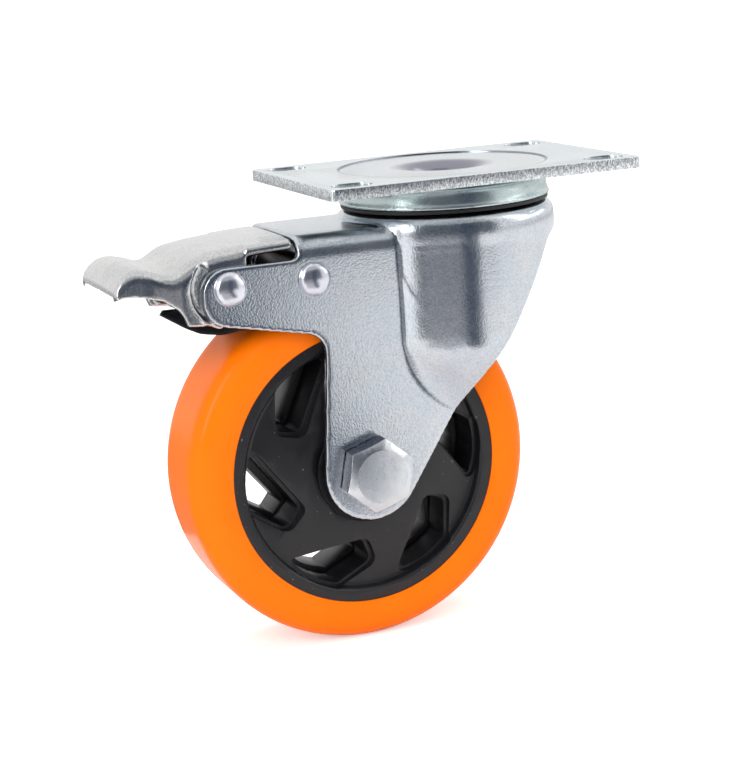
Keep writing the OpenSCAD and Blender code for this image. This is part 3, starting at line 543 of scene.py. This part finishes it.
ballTree, given = growthTree("ballRing", {"Count": "Int", "Pitch": "Float", "Ball": "Float",
                                          "Place": "Vector", "Tilt": "Vector", "Material": "Material"})
wanted = {"Vertices": given["Count"], "Radius": given["Pitch"]}
circle = addNode(ballTree, "GeometryNodeMeshCircle", None, wanted)
wanted = {"Segments": 24, "Rings": 16, "Radius": given["Ball"]}
ball = addNode(ballTree, "GeometryNodeMeshUVSphere", None, wanted)
wanted = {"Points": circle.outputs[0], "Instance": ball.outputs[0]}
ring = addNode(ballTree, "GeometryNodeInstanceOnPoints", None, wanted)
wanted = {"Geometry": ring.outputs[0], "Translation": given["Place"], "Rotation": given["Tilt"]}
placed = addNode(ballTree, "GeometryNodeTransform", None, wanted)
finishTree(ballTree, given, placed.outputs[0])
ballRings = {
    "swivelBalls": {
        "upper_swivel_balls": {"Count": 24, "Pitch": 22 * mm, "Ball": 2.38 * mm},
        "lower_swivel_balls": {"Count": 18, "Pitch": 14 * mm, "Ball": 1.98 * mm}},
    "wheelBalls": {
        nodeName: {"Count": 8, "Pitch": 10 * mm, "Ball": 2.38 * mm, "Tilt": (-math.pi / 2, 0, 0)}
        for nodeName in ("near_wheel_balls", "far_wheel_balls")},
}
for name, rings in ballRings.items():
    runs = [(ballTree, dict(values, Place=midOf(nodeName), Material=materials["ball"]))
            for nodeName, values in rings.items()]
    settle(grow(name, runs), *rings)


# rivets: one headed end, set at both ends of each shank, and collars inside the arm
rivetLook = {
    "head": 4.62 * mm, "rim": 0.35 * mm, "rise": 2.75 * mm, "face": 20.5 * mm, "shank": 2.95 * mm,
    "seat": 0.02 * mm, "chamfer": 0.12 * mm, "rimShare": 0.4, "neck": 0.06 * mm, "dome": 0.985,
    "domeSteps": 12, "steps": 48, "collar": 2.7 * mm, "collarMid": 16.65 * mm, "collarSides": 32,
    "collars": {"pedal_rivet": 2.5 * mm, "tongue_rivet": 4.5 * mm}}


def headMesh(look):
    # section from the shank's mid plane over the rim to the crown of the dome, turned about Z
    shape = bmesh.new()
    steps, turns = look["steps"], look["domeSteps"]
    section = [(look["shank"], -look["face"]), (look["shank"], -look["seat"]),
               (look["head"] - look["chamfer"], 0), (look["head"], look["rim"] * look["rimShare"]),
               (look["head"] - look["neck"], look["rim"])]
    for a in (math.pi / 2 * k / turns for k in range(turns)):
        height = look["rim"] + (look["rise"] - look["rim"]) * math.sin(a)
        section.append((look["head"] * look["dome"] * math.cos(a), height))
    rings = [[shape.verts.new((r * math.cos(t), r * math.sin(t), h)) for r, h in section]
             for t in (2 * math.pi * k / steps for k in range(steps))]
    crest = shape.verts.new((0, 0, look["rise"]))
    for k in range(steps):
        here, there = rings[k], rings[(k + 1) % steps]
        for i in range(len(section) - 1):
            shape.faces.new((here[i], there[i], there[i + 1], here[i + 1]))
        shape.faces.new((here[-1], there[-1], crest))
    mesh = bpy.data.meshes.new("rivetEnd")
    shape.to_mesh(mesh)
    shape.free()
    return mesh


rivetTree, given = growthTree("rivetEnds", {"Head": "Object", "Place": "Vector", "Collar": "Float",
                                            "Material": "Material"})
seed = addNode(rivetTree, "GeometryNodeObjectInfo", None, {"Object": given["Head"]})
wanted = {"Vertices": rivetLook["collarSides"], "Radius": given["Collar"], "Depth": rivetLook["collar"]}
collar = addNode(rivetTree, "GeometryNodeMeshCylinder", None, wanted)
ends = []
for shape, out, tilts in ((seed.outputs["Geometry"], rivetLook["face"], (1, -1)),
                          (collar.outputs[0], rivetLook["collarMid"], (1, 1))):
    for side, tilt in zip((-1, 1), tilts):
        wanted = {"Geometry": shape, "Rotation": (tilt * math.pi / 2, 0, 0), "Translation": (0, side * out, 0)}
        ends.append(addNode(rivetTree, "GeometryNodeTransform", None, wanted))
both = addNode(rivetTree, "GeometryNodeJoinGeometry")
for end in ends:
    rivetTree.links.new(end.outputs[0], both.inputs[0])
wanted = {"Geometry": both.outputs[0], "Translation": given["Place"]}
placed = addNode(rivetTree, "GeometryNodeTransform", None, wanted)
finishTree(rivetTree, given, placed.outputs[0])
head = bpy.data.objects.new("rivetEnd", headMesh(rivetLook))
runs = [(rivetTree, {"Head": head, "Place": midOf(nodeName), "Collar": radius, "Material": materials["rivet"]})
        for nodeName, radius in rivetLook["collars"].items()]
settle(grow("armRivets", runs), *rivetLook["collars"])
bpy.data.objects.remove(head)


# thread on the bolt's end, past the nut, which the solid bolt doesn't have
threadLook = {"turns": 2.4, "pitch": 1.0 * mm, "radius": 5.45 * mm, "ridge": 0.62 * mm, "start": 31.2 * mm,
              "steps": 48}
threadTree, given = growthTree("endThread", {"Turns": "Float", "Pitch": "Float", "Radius": "Float",
                                             "Place": "Vector", "Material": "Material"})
wanted = {0: given["Turns"], 1: given["Pitch"]}
rise = addNode(threadTree, "ShaderNodeMath", {"operation": "MULTIPLY"}, wanted)
wanted = {"Resolution": threadLook["steps"], "Rotations": given["Turns"], "Start Radius": given["Radius"],
          "End Radius": given["Radius"], "Height": rise.outputs[0]}
spiral = addNode(threadTree, "GeometryNodeCurveSpiral", None, wanted)
wanted = {"Resolution": 3, "Radius": threadLook["ridge"]}
ridge = addNode(threadTree, "GeometryNodeCurvePrimitiveCircle", None, wanted)
wanted = {"Curve": spiral.outputs[0], "Profile Curve": ridge.outputs[0], "Fill Caps": True}
crest = addNode(threadTree, "GeometryNodeCurveToMesh", None, wanted)
wanted = {"Geometry": crest.outputs[0], "Translation": given["Place"], "Rotation": (-math.pi / 2, 0, 0)}
placed = addNode(threadTree, "GeometryNodeTransform", None, wanted)
finishTree(threadTree, given, placed.outputs[0])
values = {"Turns": threadLook["turns"], "Pitch": threadLook["pitch"], "Radius": threadLook["radius"],
          "Place": (axleX, threadLook["start"], axleZ), "Material": materials["turned"]}
thread = grow("boltThread", [(threadTree, values)])
flattened(thread)
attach(thread, "fork_body")
print("small repeats grown")


# camera, fitted to the photograph: its place in metres and its right, up and ahead directions
cameraLook = {"lens": 96.75, "sensor": 36, "far": 20, "place": (-0.2315, -0.5303, 0.0660),
              "right": (0.9246, -0.376, -0.0607), "up": (0.1363, 0.1781, 0.9745),
              "ahead": (0.3556, 0.9094, -0.2159)}
cameraData = bpy.data.cameras.new("photoCamera")
cameraData.lens = cameraLook["lens"]
cameraData.sensor_width = cameraLook["sensor"]
cameraData.clip_end = cameraLook["far"]
camera = bpy.data.objects.new("photoCamera", cameraData)
right, up, ahead = (Vector(cameraLook[side]) for side in ("right", "up", "ahead"))
turn = Matrix((right, up, -ahead)).transposed().to_4x4()
camera.matrix_world = Matrix.Translation(cameraLook["place"]) @ turn
scene.collection.objects.link(camera)
scene.camera = camera

# floor: white paper that the camera sees as white, with the castor's shadow left on it
floorZ, floorHalf = -0.13, 4
floorMesh = bpy.data.meshes.new("studioFloor")
corners = [(x * floorHalf, y * floorHalf, floorZ) for x, y in ((-1, -1), (1, -1), (1, 1), (-1, 1))]
floorMesh.from_pydata(corners, [], [(0, 1, 2, 3)])
studioFloor = bpy.data.objects.new("studioFloor", floorMesh)
scene.collection.objects.link(studioFloor)
floorMaterial, tree, surface = newMaterial("whitePaper")[:3]
surface.inputs["Base Color"].default_value = (0.93, 0.93, 0.93, 1)
surface.inputs["Roughness"].default_value = 0.9
surface.inputs["Emission Color"].default_value = (1, 1, 1, 1)
rays = addNode(tree, "ShaderNodeLightPath")
glow = addNode(tree, "ShaderNodeMapRange", None, {0: rays.outputs["Is Camera Ray"], 1: 0, 2: 1, 3: 0, 4: 0.42})
tree.links.new(glow.outputs[0], surface.inputs["Emission Strength"])
floorMesh.materials.append(floorMaterial)

# cards that only reflections see: the dim walls in front of the castor and strips of floor before them;
# each runs round the castor, between two turns in degrees, from a low edge to a high one, given as
# distance and height
stripZ, cardSteps = -0.1295, 12
cards = {
    "frontWall": {"turn": (-150, -97), "low": (0.5, -0.06), "high": (0.5, 0.33), "tone": (0.13, 0.145, 0.17)},
    "frontFoot": {"turn": (-137, -97), "low": (0.5, floorZ), "high": (0.5, -0.06), "tone": (0.34, 0.34, 0.37)},
    "leftFoot": {"turn": (-147, -137), "low": (0.5, floorZ), "high": (0.5, -0.06), "tone": (0.12, 0.13, 0.15)},
    "rightWall": {"turn": (-97, -80), "low": (0.5, floorZ), "high": (0.5, 0.33), "tone": (0.06, 0.08, 0.12)},
    "sideWall": {"turn": (-80, -60), "low": (0.5, -0.08), "high": (0.5, 0.33), "tone": (0.13, 0.145, 0.17)},
    "upperWall": {"turn": (-150, -60), "low": (0.5, 0.33), "high": (0.5, 1.3), "tone": (0.52, 0.54, 0.56)},
    "greyStrip": {"turn": (-137, -97), "low": (0.4, stripZ), "high": (0.5, stripZ), "tone": (0.38, 0.38, 0.4)},
    "middleStrip": {"turn": (-137, -97), "low": (0.34, stripZ), "high": (0.4, stripZ), "tone": (0.46, 0.46, 0.48)},
    "paleStrip": {"turn": (-137, -97), "low": (0.15, stripZ), "high": (0.34, stripZ), "tone": (0.58, 0.58, 0.6)},
    "rightStrip": {"turn": (-97, -80), "low": (0.14, stripZ), "high": (0.5, stripZ), "tone": (0.08, 0.1, 0.14)},
    "leftStrip": {"turn": (-147, -137), "low": (0.36, stripZ), "high": (0.5, stripZ), "tone": (0.16, 0.17, 0.19)},
    "leftFloor": {"turn": (112, 190), "low": (0.12, stripZ), "high": (1.2, stripZ), "tone": (0.3, 0.31, 0.33)},
}
for name, how in cards.items():
    start, end = how["turn"]
    turns = [math.radians(start + (end - start) * k / cardSteps) for k in range(cardSteps + 1)]
    points = [(out * math.cos(t), out * math.sin(t), z) for out, z in (how["low"], how["high"]) for t in turns]
    faces = [(k, k + 1, k + cardSteps + 2, k + cardSteps + 1) for k in range(cardSteps)]
    cardMesh = bpy.data.meshes.new(name)
    cardMesh.from_pydata(points, [], faces)
    cardMaterial = bpy.data.materials.new(name)
    cardMaterial.use_nodes = True
    tree = cardMaterial.node_tree
    tree.nodes.clear()
    glow = addNode(tree, "ShaderNodeEmission", None, {"Color": how["tone"] + (1,)})
    addNode(tree, "ShaderNodeOutputMaterial", None, {"Surface": glow.outputs[0]})
    cardMesh.materials.append(cardMaterial)
    card = bpy.data.objects.new(name, cardMesh)
    for sight in ("visible_camera", "visible_diffuse", "visible_shadow", "visible_transmission"):
        setattr(card, sight, False)
    scene.collection.objects.link(card)

# lamps: az and el give the side each stands on, in degrees, and out its distance from what it lights
lampAim = (-0.03, 0, -0.06)
lamps = {
    "leftBox": {"az": -157, "el": 24, "out": 1.1, "size": (0.22, 0.6), "power": 3.2, "mirrored": True},
    "rightBox": {"az": -8, "el": 30, "out": 1.3, "size": (1.2, 0.9), "power": 4.0, "mirrored": True},
    "topBox": {"az": 90, "el": 84, "out": 1.2, "size": (1.1, 1.1), "power": 5.0, "mirrored": False},
    "frontFill": {"az": -112, "el": 32, "out": 1.6, "size": (1.2, 0.9), "power": 9.5, "mirrored": False},
}
for name, how in lamps.items():
    lampData = bpy.data.lights.new(name, "AREA")
    lampData.shape = "RECTANGLE"
    lampData.size, lampData.size_y = how["size"]
    lampData.energy = how["power"]
    lamp = bpy.data.objects.new(name, lampData)
    az, el = math.radians(how["az"]), math.radians(how["el"])
    away = Vector((math.cos(el) * math.cos(az), math.cos(el) * math.sin(az), math.sin(el)))
    aim = (-away).to_track_quat("-Z", "Y").to_matrix().to_4x4()
    lamp.matrix_world = Matrix.Translation(Vector(lampAim) + away * how["out"]) @ aim
    lamp.visible_glossy = how["mirrored"]
    scene.collection.objects.link(lamp)

# sky: white to the camera and in reflections, softer as a light
skyLight = 0.66
world = bpy.data.worlds.new("studio")
scene.world = world
world.use_nodes = True
tree = world.node_tree
tree.nodes.clear()
rays = addNode(tree, "ShaderNodeLightPath").outputs
wanted = {0: rays["Is Camera Ray"], 1: rays["Is Transmission Ray"]}
seen = addNode(tree, "ShaderNodeMath", {"operation": "MAXIMUM"}, wanted)
wanted = {0: seen.outputs[0], 1: rays["Is Glossy Ray"]}
seen = addNode(tree, "ShaderNodeMath", {"operation": "MAXIMUM"}, wanted)
strength = addNode(tree, "ShaderNodeMapRange", None, {0: seen.outputs[0], 1: 0, 2: 1, 3: skyLight, 4: 1.0})
wanted = {"Color": (1, 1, 1, 1), "Strength": strength.outputs[0]}
sky = addNode(tree, "ShaderNodeBackground", None, wanted)
addNode(tree, "ShaderNodeOutputWorld", None, {"Surface": sky.outputs[0]})
scene.view_settings.view_transform = "Standard"
print("studio lit")
